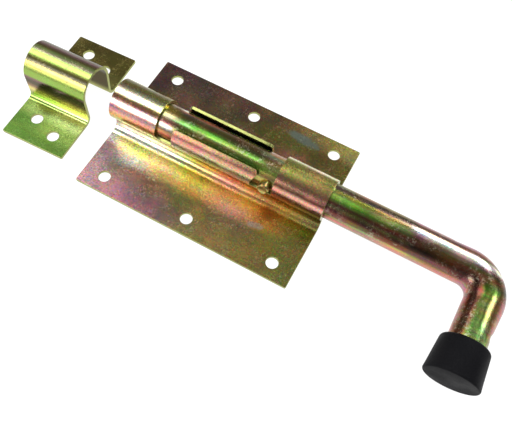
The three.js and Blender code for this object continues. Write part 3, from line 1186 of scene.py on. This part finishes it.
@dataclass
class BentBolt:
    """The round bar with its chamfered nose and its arm, bent a little down toward the mounting face."""

    datum: Datum
    radius: float = 10.0
    axis_z: float = 20.1
    nose_x: float = -64.0
    chamfer: float = 1.5
    arm_x: float = 158.3
    bend_r: float = 15.5
    bulge: float = 1.0
    bulge_before: float = 8.8
    bulge_after: float = 14.2
    dent_before: float = 0.35
    dent_after: float = 0.8
    dent_width: float = 2.0
    cap_rim: float = 37.3
    cap_length: float = 20.4
    cap_floor: float = 2.4
    cap_end_r: float = 14.7
    cap_edge: float = 0.9
    rest_gap: float = 0.1
    ring_points: int = 96

    @property
    def tilt(self) -> float:
        """How far the arm leans down, so that the grip just clears the mounting face.

        Returns:
            The angle below the horizontal, in radians.
        """
        s = self.cap_rim + self.cap_length - self.cap_edge
        far = math.hypot(self.cap_end_r, s)
        return math.asin((self.axis_z - self.rest_gap) / far) - math.atan2(self.cap_end_r, s)

    @property
    def arm(self) -> Vector:
        """Unit direction of the arm, away from the bend."""
        return Vector((0, -math.cos(self.tilt), -math.sin(self.tilt)))

    def centreline(self, s: float) -> tuple[Vector, Vector, Vector]:
        """The bar's line at a distance from the start of its bend.

        Args:
            s: Distance along the line, negative before the bend.

        Returns:
            The centre, the tangent, and the normal toward the bend's outer side.
        """
        start = Vector((self.arm_x - self.bend_r, 0, self.axis_z))
        along = Vector((1, 0, 0))
        if s <= 0:
            return start + along * s, along, -self.arm
        a = min(s / self.bend_r, math.pi / 2)
        centre = start + along * self.bend_r * math.sin(a) + self.arm * self.bend_r * (1 - math.cos(a))
        centre += self.arm * max(0.0, s - self.bend_r * math.pi / 2)
        tangent = along * math.cos(a) + self.arm * math.sin(a)
        return centre, tangent, along * math.sin(a) - self.arm * math.cos(a)

    def stations(self) -> list[tuple[float, float]]:
        """Places and radii of the bar's rings, from the nose to the end inside the grip.

        Returns:
            (distance from the start of the bend, radius) of each ring.
        """
        sweep = self.bend_r * math.pi / 2
        start = self.nose_x - (self.arm_x - self.bend_r)
        end = self.cap_rim + self.cap_length - self.cap_floor - 0.3 - self.bend_r + sweep
        low, high = -self.bulge_before - 4, sweep + self.bulge_after + 4
        r, c = self.radius, self.chamfer
        places = [(start, 0.0), (start, r - c - 0.4), (start + 0.1, r - c - 0.1)]
        places += [(start + 0.25, r - c + 0.1)]
        places += [(start + c - 0.2, r - 0.25), (start + c, r - 0.1), (start + c + 0.4, r)]
        places += [(float(s), r) for s in np.linspace(start + c + 4, low, 40)]
        places += [(float(s), r) for s in np.linspace(low, high, 60)[1:]]
        places += [(end - 1.0, r), (end - 0.2, r - 0.3), (end, r - 1.0), (end, 0.0)]
        return places

    def build(self) -> bpy.types.Object:
        """Makes the bar's mesh in the row frame.

        Returns:
            The bar's object.
        """
        sweep = self.bend_r * math.pi / 2
        low, high = -self.bulge_before, sweep + self.bulge_after
        dents = ((low, self.dent_before), (high, self.dent_after))
        count = self.ring_points
        verts: list = []
        rings: list = []
        for s, r in self.stations():
            centre, tangent, outer = self.centreline(s)
            side = tangent.cross(outer)
            u = (s - low) / (high - low)
            bump = self.bulge * math.sin(math.pi * u) ** 2 if 0 < u < 1 else 0.0
            dent = sum(depth * math.exp(-(((s - at) / self.dent_width) ** 2)) for at, depth in dents)
            if r < 1e-6:
                rings.append([len(verts)])
                verts.append(tuple(centre))
                continue
            rings.append(list(range(len(verts), len(verts) + count)))
            for k in range(count):
                a = 2 * math.pi * k / count
                lift = bump * max(0.0, math.cos(a)) - dent * max(0.0, math.cos(a)) ** 6
                verts.append(tuple(centre + outer * (math.cos(a) * (r + lift)) + side * (r * math.sin(a))))
        obj = make_object("bent_bolt", np.array(verts), bridge(rings))
        obj.location = (self.datum.x * MM, self.datum.y * MM, 0)
        return obj


@dataclass
class StopPin:
    """The short stud that stands in the notch beside the front flap."""

    datum: Datum
    radius: float = 3.4
    x: float = 32.0
    up_deg: float = 11.0
    reach: float = 14.5
    root: float = 5.0
    axis_z: float = 20.1

    def build(self) -> bpy.types.Object:
        """Makes the pin's mesh in the row frame.

        Returns:
            The pin's object.
        """
        r, s = self.radius, self.reach
        profile = [
            (0, self.root),
            (r - 0.3, self.root),
            (r, self.root + 0.3),
            (r, s - 0.75),
            (r - 0.05, s - 0.55),
            (r - 0.45, s - 0.12),
            (r - 0.62, s - 0.02),
            (r - 0.85, s),
            (r - 1.05, s - 0.06),
            (r * 0.45, s - 0.3),
            (0, s - 0.34),
        ]
        a = math.radians(self.up_deg)
        axis = Vector((0, -math.cos(a), math.sin(a)))
        origin = Vector((self.x, 0, self.axis_z))
        verts, faces = spin(profile, origin, axis, 64)
        obj = make_object("stop_stud", verts, faces)
        obj.location = (self.datum.x * MM, self.datum.y * MM, 0)
        return obj


@dataclass
class Grip:
    """The rubber cup pushed onto the arm's end, wider at its closed end."""

    bolt: BentBolt
    rim_r: float = 13.0
    shoulder: float = 2.0
    fit_gap: float = 0.05

    def build(self) -> bpy.types.Object:
        """Makes the grip's mesh in the row frame.

        Returns:
            The grip's object.
        """
        bolt = self.bolt
        inner = bolt.radius + self.fit_gap
        length, edge, end_r = bolt.cap_length, bolt.cap_edge, bolt.cap_end_r
        slope = (end_r - self.rim_r) / length
        lip = 0.35
        profile = [(0, length - bolt.cap_floor), (inner, length - bolt.cap_floor), (inner, lip)]
        profile += [(inner + lip * 0.3, lip * 0.3), (inner + lip, 0)]
        sh = self.shoulder
        for i in range(9):
            a = math.radians(-90 + 90 * i / 8)
            s = sh + sh * math.sin(a)
            profile.append((self.rim_r + slope * s - sh + sh * math.cos(a), s))
        for s in np.linspace(sh, length - edge, 8)[1:-1]:
            profile.append((self.rim_r + slope * float(s), float(s)))
        for i in range(6):
            a = math.radians(90 * i / 5)
            profile.append((end_r - edge + edge * math.cos(a), length - edge + edge * math.sin(a)))
        profile += [(end_r * 0.6, length - 0.02), (0, length - 0.05)]
        origin = Vector((bolt.arm_x, 0, bolt.axis_z)) + bolt.arm * bolt.cap_rim
        verts, faces = spin(profile, origin, bolt.arm, 96)
        obj = make_object("rubber_grip", verts, faces)
        obj.location = (bolt.datum.x * MM, bolt.datum.y * MM, 0)
        return obj


# --------------------------------------------------------------------------------------------
# Finishes of each piece
# --------------------------------------------------------------------------------------------

# The white, cream and lime colours are painted highlights and the ink colour is painted shade in the bands;
# the rest are tints of the plating and of its wear.
HIGHLIGHT_WHITE: Colour = (0.92, 0.90, 0.80)
SILVER: Colour = (0.70, 0.66, 0.55)
PALE: Colour = (0.60, 0.60, 0.45)
HIGHLIGHT_CREAM: Colour = (0.95, 0.88, 0.55)
STRAW: Colour = (0.85, 0.68, 0.20)
GOLD: Colour = (0.50, 0.42, 0.12)
OLIVE: Colour = (0.26, 0.21, 0.06)
HIGHLIGHT_LIME: Colour = (0.70, 0.88, 0.30)
LEAF: Colour = (0.32, 0.46, 0.10)
BOTTLE: Colour = (0.09, 0.18, 0.03)
AMBER: Colour = (0.80, 0.40, 0.08)
SALMON: Colour = (0.90, 0.42, 0.26)
ROSE: Colour = (0.55, 0.24, 0.17)
MAUVE: Colour = (0.42, 0.24, 0.25)
BROWN: Colour = (0.30, 0.18, 0.09)
PLUM: Colour = (0.24, 0.13, 0.13)
MAROON: Colour = (0.18, 0.07, 0.04)
UMBER: Colour = (0.08, 0.06, 0.02)
SHADE_INK: Colour = (0.02, 0.015, 0.01)

# Band tables by angle round the axis. Their white, cream and lime stops are painted highlights and their
# ink stops painted shade; the left barrel's white at 44 degrees and cream from 72 to 92 degrees are painted
# highlights.
BARREL_LEFT: Stops = (
    (-60, OLIVE), (-30, STRAW), (-10, GOLD), (2, AMBER), (14, SALMON), (28, MAUVE), (36, ROSE), (44, HIGHLIGHT_WHITE),
    (57, ROSE), (66, OLIVE), (72, HIGHLIGHT_CREAM), (92, HIGHLIGHT_CREAM), (104, GOLD), (124, UMBER), (145, GOLD),
)
# Front flap: the white and cream stops from 0 to 10 degrees are a painted highlight.
FLAP: Stops = (
    (-60, OLIVE), (-30, STRAW), (-15, OLIVE), (0, HIGHLIGHT_WHITE), (10, HIGHLIGHT_CREAM), (18, SALMON), (28, ROSE),
    (44, BROWN), (90, OLIVE),
)
BARREL_RIGHT: Stops = (
    (-30, OLIVE), (0, ROSE), (22, SALMON), (34, MAROON), (46, SALMON), (60, BROWN), (76, OLIVE),
    (98, STRAW), (120, OLIVE), (135, HIGHLIGHT_CREAM),
)
ROD_START: Stops = (
    (-10, UMBER), (10, AMBER), (28, MAROON), (42, SILVER), (58, ROSE), (72, MAUVE), (90, GOLD),
    (106, AMBER), (120, UMBER), (145, ROSE),
)
# Bar in the window: the dark green below 50 degrees, against the front flap's top edge, is painted shade,
# and the white at 132 degrees beside the rear flap is a painted highlight.
ROD_WINDOW: Stops = (
    (50, BOTTLE), (62, OLIVE), (70, LEAF), (76, BOTTLE), (86, BOTTLE), (94, OLIVE), (106, BROWN),
    (120, ROSE), (132, HIGHLIGHT_WHITE),
)
ROD_PIN: Stops = (
    (20, GOLD), (30, LEAF), (40, BOTTLE), (58, LEAF), (74, UMBER), (90, OLIVE), (101, HIGHLIGHT_CREAM),
    (112, STRAW), (124, BROWN), (145, SALMON),
)
# Bar beyond the right barrel: the ink stops from 16 to 36 degrees are painted shade.
ROD_OUT: Stops = (
    (-30, MAROON), (-4, ROSE), (3, ROSE), (9, LEAF), (16, SHADE_INK), (36, SHADE_INK), (46, OLIVE), (56, MAROON),
    (68, BOTTLE), (80, LEAF), (94, GOLD), (106, PLUM), (120, UMBER), (140, OLIVE),
)
# Bar beyond 115 mm: the ink stops from 16 to 42 degrees are painted shade and the white stops at 92 and 102
# degrees are a painted highlight.
ROD_FAR: Stops = (
    (-30, MAROON), (2, ROSE), (9, OLIVE), (16, SHADE_INK), (42, SHADE_INK), (56, MAROON), (68, UMBER),
    (80, PLUM), (92, HIGHLIGHT_WHITE), (102, HIGHLIGHT_WHITE), (110, PLUM), (122, MAROON), (140, MAUVE),
)
# Arm, by X across it: the lime stops at 161 to 162.5 mm are a painted highlight.
ARM: Stops = (
    (147, ROSE), (149.5, MAROON), (153, MAROON), (155, BOTTLE), (157.5, LEAF), (159, BOTTLE), (161, HIGHLIGHT_LIME),
    (162.5, HIGHLIGHT_LIME), (164, OLIVE), (166, BROWN), (169, MAUVE),
)
# Keeper's hump: the cream stops at 56 and 90 degrees and the lime at 98 degrees are painted highlights.
KEEPER_HUMP: Stops = (
    (-60, UMBER), (-38, STRAW), (-28, BROWN), (-16, UMBER), (-4, UMBER), (5, PLUM), (12, LEAF), (30, LEAF),
    (42, OLIVE), (50, STRAW),
    (56, HIGHLIGHT_CREAM), (62, OLIVE), (72, LEAF), (84, LEAF), (90, HIGHLIGHT_CREAM), (98, HIGHLIGHT_LIME), (106, OLIVE), (116, PLUM),
    (128, UMBER),
)
# Plate's flanges: the white at the left of the rows 17 and 22 mm in front of the axis, beside the bend, is
# a painted highlight.
PLATE_ROWS: tuple[tuple[float, Stops], ...] = (
    (-46, ((-60, PLUM), (20, BROWN), (60, STRAW))),
    (-34, ((-60, PLUM), (20, OLIVE), (60, OLIVE))),
    (-20, ((-60, OLIVE), (-20, PLUM), (25, ROSE), (60, OLIVE))),
    (17, ((-60, HIGHLIGHT_WHITE), (-35, HIGHLIGHT_WHITE), (-15, STRAW), (10, SALMON), (36, AMBER), (60, GOLD))),
    (22, ((-60, MAUVE), (-45, HIGHLIGHT_WHITE), (-28, STRAW), (-10, AMBER), (20, SALMON), (38, AMBER), (55, OLIVE))),
    (29, ((-60, MAUVE), (-30, BROWN), (-5, OLIVE), (20, BROWN), (50, OLIVE))),
    (42, ((-60, MAUVE), (-20, PLUM), (10, OLIVE), (50, OLIVE))),
)
# Keeper's flanges: the lime toward +X in the row 19 mm in front, beside the bend, is a painted highlight.
KEEPER_ROWS: tuple[tuple[float, Stops], ...] = (
    (-30, ((-20, OLIVE), (20, OLIVE))),
    (19, ((-20, LEAF), (8, HIGHLIGHT_LIME))),
    (27, ((-20, BOTTLE), (12, LEAF))),
    (38, ((-20, BOTTLE), (20, BOTTLE))),
)


class Studio:
    """A pale floor, soft light and the camera, placed in millimetres from the plate's centre."""

    place = (95.78, -184.48, 337.04)
    look = (-0.16881, 0.43966, -0.88216)
    right = (0.88035, 0.46977, 0.06566)
    lens = 48.2
    floor_half = 3.0
    floor_drop = 0.0002
    floor_grey = 0.15
    floor_glow = 0.96

    def __init__(self, datum: Datum) -> None:
        """Keeps where the base plate's centre is."""
        self.centre = Vector((datum.x, datum.y, 0)) * MM

    def floor(self) -> None:
        """Lays a plain pale floor under the latch."""
        size = self.floor_half
        mesh = bpy.data.meshes.new("floor")
        corners = [(-size, -size, 0), (size, -size, 0), (size, size, 0), (-size, size, 0)]
        mesh.from_pydata(corners, [], [(0, 1, 2, 3)])
        floor = bpy.data.objects.new("floor", mesh)
        floor.location.z = -self.floor_drop
        bpy.context.scene.collection.objects.link(floor)
        material = bpy.data.materials.new("pale_floor")
        material.use_nodes = True
        shader = material.node_tree.nodes["Principled BSDF"]
        shader.inputs["Base Color"].default_value = (self.floor_grey,) * 3 + (1,)
        shader.inputs["Emission Color"].default_value = (1, 1, 1, 1)
        shader.inputs["Emission Strength"].default_value = self.floor_glow
        shader.inputs["Roughness"].default_value = 0.9
        shader.inputs["Specular IOR Level"].default_value = 0.0
        mesh.materials.append(material)

    def softbox(
        self, name: str, towards: tuple, distance: float, size: tuple, level: float, seen: bool = True
    ) -> None:
        """Hangs a soft light that faces the latch.

        Args:
            name: The light's name.
            towards: Direction from the latch to the light.
            distance: Distance from the latch, in metres.
            size: Width and height, in metres.
            level: Brightness of its face.
            seen: Whether polished faces mirror it.
        """
        data = bpy.data.lights.new(name, "AREA")
        data.shape = "RECTANGLE"
        data.size, data.size_y = size
        data.energy = level * math.pi * size[0] * size[1]
        lamp = bpy.data.objects.new(name, data)
        direction = Vector(towards).normalized()
        lamp.location = self.centre + direction * distance
        lamp.rotation_euler = direction.to_track_quat("Z", "Y").to_euler()
        lamp.visible_glossy = seen
        bpy.context.scene.collection.objects.link(lamp)

    def light(self) -> None:
        """Sets the soft surroundings and the softboxes."""
        world = bpy.data.worlds.new("studio")
        world.use_nodes = True
        bpy.context.scene.world = world
        tree = world.node_tree
        tree.nodes.clear()
        n = Nodes(tree)
        up = n.add("SeparateXYZ", in_0=n.add("TexCoord").outputs["Generated"]).outputs[2]
        sky = n.ramp(up, ((0.0, (0.42, 0.42, 0.42)), (0.15, (0.38, 0.38, 0.38)), (0.5, (0.14, 0.14, 0.14)),
                          (0.78, (0.16, 0.16, 0.16)), (0.95, (0.55, 0.55, 0.55))))
        back = n.add("Background", Color=sky, Strength=1.0)
        n.add("OutputWorld", Surface=back.outputs[0])
        self.softbox("front_left_box", (-0.452, -0.798, 0.399), 1.2, (0.52, 0.50), 5.0)
        self.softbox("top_left_box", (-0.50, 0.08, 0.86), 1.2, (0.46, 0.85), 4.0)
        self.softbox("rear_right_box", (0.367, 0.91, 0.694), 1.2, (0.46, 0.55), 5.0)
        self.softbox("right_box", (0.62, 0.30, 0.72), 1.2, (0.30, 0.40), 3.0)
        self.softbox("floor_wash", (0.1, -0.1, 1.0), 1.5, (2.0, 2.0), 2.2, seen=False)

    def camera(self) -> None:
        """Sets the camera."""
        data = bpy.data.cameras.new("camera")
        data.sensor_width = 36.0
        data.lens = self.lens
        camera = bpy.data.objects.new("camera", data)
        camera.location = self.centre + Vector(self.place) * MM
        look, right = Vector(self.look), Vector(self.right)
        up = right.cross(look).normalized()
        basis = Matrix((right, up, -look)).transposed()
        camera.rotation_euler = basis.to_euler()
        bpy.context.scene.collection.objects.link(camera)
        bpy.context.scene.camera = camera
        bpy.context.scene.view_settings.view_transform = "Standard"


def main() -> None:
    """Builds, dresses and reports every piece, and sets the studio."""
    logging.basicConfig(level=logging.INFO, format="%(name)s: %(message)s")
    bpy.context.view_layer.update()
    datum = Datum.from_frame()
    studio = Studio(datum)
    studio.camera()
    effects = Effects()
    plate_finish = PlatedSteel(
        "plated_plate",
        bands=BARREL_LEFT,
        changes=((-34, -28, FLAP), (28, 34, BARREL_RIGHT)),
        flats=Flats(PLATE_ROWS, 66.0),
        smears=(
            Smear(33.0, 40.0, 14.0, 3.6, -4.0, (0.33, 0.42, 0.36), 0.75),
            Smear(35.0, -24.5, 6.0, 2.2, 14.0, (0.50, 0.50, 0.48), 0.55),
        ),
    )
    keeper_finish = PlatedSteel(
        "plated_keeper",
        bands=KEEPER_HUMP,
        flats=Flats(KEEPER_ROWS, 20.0),
        axis_z=19.4,
        wobble=0.8,
        cloud=0.3,
        grain=0.8,
        streak=0.3,
        scratch=0.12,
        scuff=0.05,
    )
    bolt_finish = PlatedSteel(
        "plated_bolt",
        bands=ROD_START,
        changes=((-31, -24, ROD_WINDOW), (20, 28, ROD_PIN), (60, 66, ROD_OUT), (107, 115, ROD_FAR)),
        arm=Arm(ARM),
        cloud=1.3,
        grain=1.8,
        streak=1.8,
        scuff=0.4,
        scratch=0.35,
    )
    pin_finish = PlatedSteel("plated_pin", bands=((0, GOLD), (60, OLIVE)), roughness=0.24)
    plate = BasePlate(datum)
    fit_out(plate.build(), plate_finish.build(effects), Body.BASE, "base_plate")
    fit_out(Keeper(datum).build(), keeper_finish.build(effects), Body.BASE, "keeper")
    bolt = BentBolt(datum)
    fit_out(bolt.build(), bolt_finish.build(effects), Body.BOLT, "bolt_rod")
    fit_out(StopPin(datum).build(), pin_finish.build(effects), Body.BOLT, "stop_pin")
    fit_out(Grip(bolt).build(), Rubber("moulded_rubber").build(effects), Body.BOLT, "end_cap")
    studio.floor()
    studio.light()
    bpy.context.view_layer.update()


if __name__ == "__main__":
    main()
